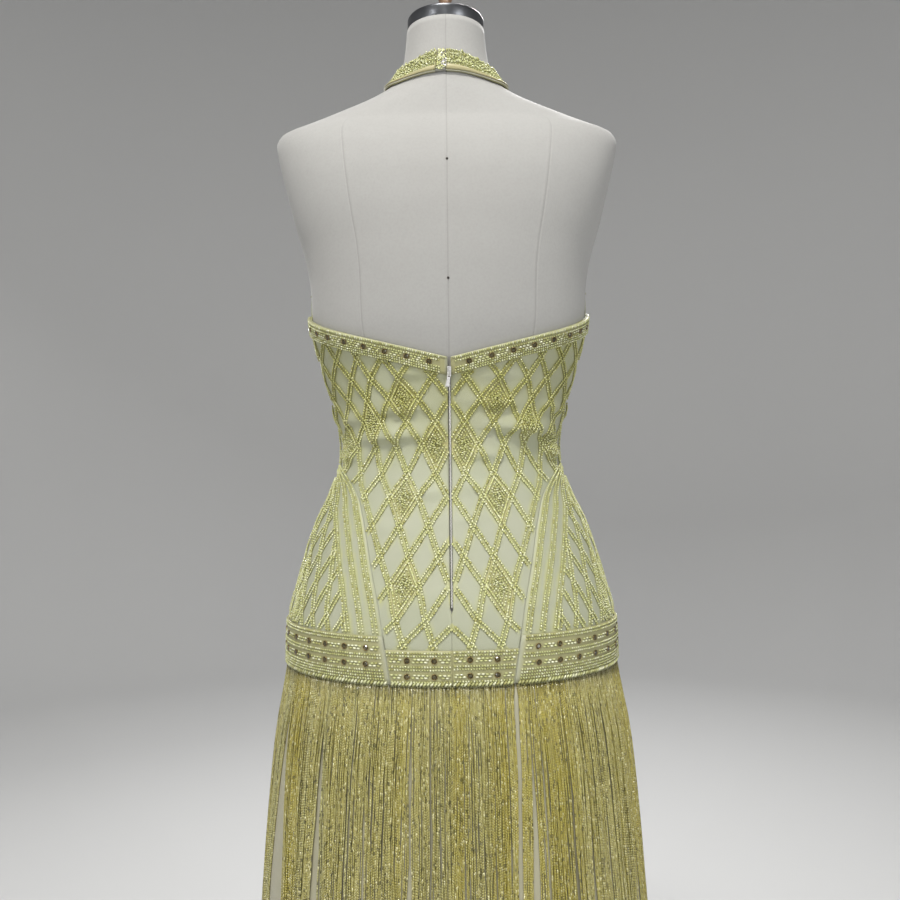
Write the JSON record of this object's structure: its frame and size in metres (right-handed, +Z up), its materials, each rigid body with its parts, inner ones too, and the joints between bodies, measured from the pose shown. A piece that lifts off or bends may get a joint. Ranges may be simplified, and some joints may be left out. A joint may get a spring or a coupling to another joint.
{
  "type": "halter evening dress on a limbless dress form with a stand",
  "caption": "Floor-length halter evening dress, beaded lattice bodice over a long bead fringe skirt, standing on a dress form with a round base.",
  "frame": {"origin": "floor level, centre of the underside of the stand's base, below the middle of the skirt's hem", "axes": "+Z up along the pole; the dress faces -Y and its zipped back faces +Y; +X is the wearer's left"},
  "size_m": [0.47, 0.407, 1.562],
  "materials": {
    "form_cover": "matt, fine linen weave",
    "dark_metal": "polished dark metal",
    "beaded_satin": "pale satin with rows of glass beads",
    "beaded_band": "dense bead rows with faceted stones",
    "satin": "soft satin sheen",
    "silver_metal": "bright nickel",
    "bead_fringe": "strands of glass beads, glossy and speckled"
  },
  "bodies": {
    "dress_on_form": {"form_body": "form_cover", "neck_cap": "dark_metal", "neck_knob": "dark_metal", "stand_pole": "dark_metal", "stand_base": "dark_metal", "back_panel_left": "beaded_satin", "back_panel_right": "beaded_satin", "front_panel_left": "beaded_satin", "front_panel_right": "beaded_satin", "side_gore_left": "beaded_satin", "side_gore_right": "beaded_satin", "neck_band_left": "beaded_band", "neck_band_right": "beaded_band", "hip_band_back_left": "beaded_band", "hip_band_back_right": "beaded_band", "hip_band_side_left": "beaded_band", "hip_band_side_right": "beaded_band", "hip_band_front_left": "beaded_band", "hip_band_front_right": "beaded_band", "neck_strap_left": "beaded_band", "neck_strap_right": "beaded_band", "neck_tab": "satin", "underskirt_back_left": "satin", "underskirt_back_right": "satin", "underskirt_front_left": "satin", "underskirt_front_right": "satin", "neck_hook": "silver_metal", "neck_eye": "silver_metal", "zip_chain": "silver_metal", "zip_slider": "silver_metal", "fringe_back_left": "bead_fringe", "fringe_back_right": "bead_fringe", "fringe_side_back_left": "bead_fringe", "fringe_side_back_right": "bead_fringe", "fringe_side_left": "bead_fringe", "fringe_side_right": "bead_fringe", "fringe_side_front_left": "bead_fringe", "fringe_side_front_right": "bead_fringe", "fringe_front_left": "bead_fringe", "fringe_front_right": "bead_fringe"},
    "pull_tab": {"zip_pull": "silver_metal"}
  },
  "joints": [
    {"name": "pull_tab_swing", "type": "hinge", "parent": "dress_on_form", "child": "pull_tab", "pos_m": [0, 0.09193, 1.13062], "axis": [0.9848, 0, 0.1736], "range_deg": [0, 120]}
  ]
}
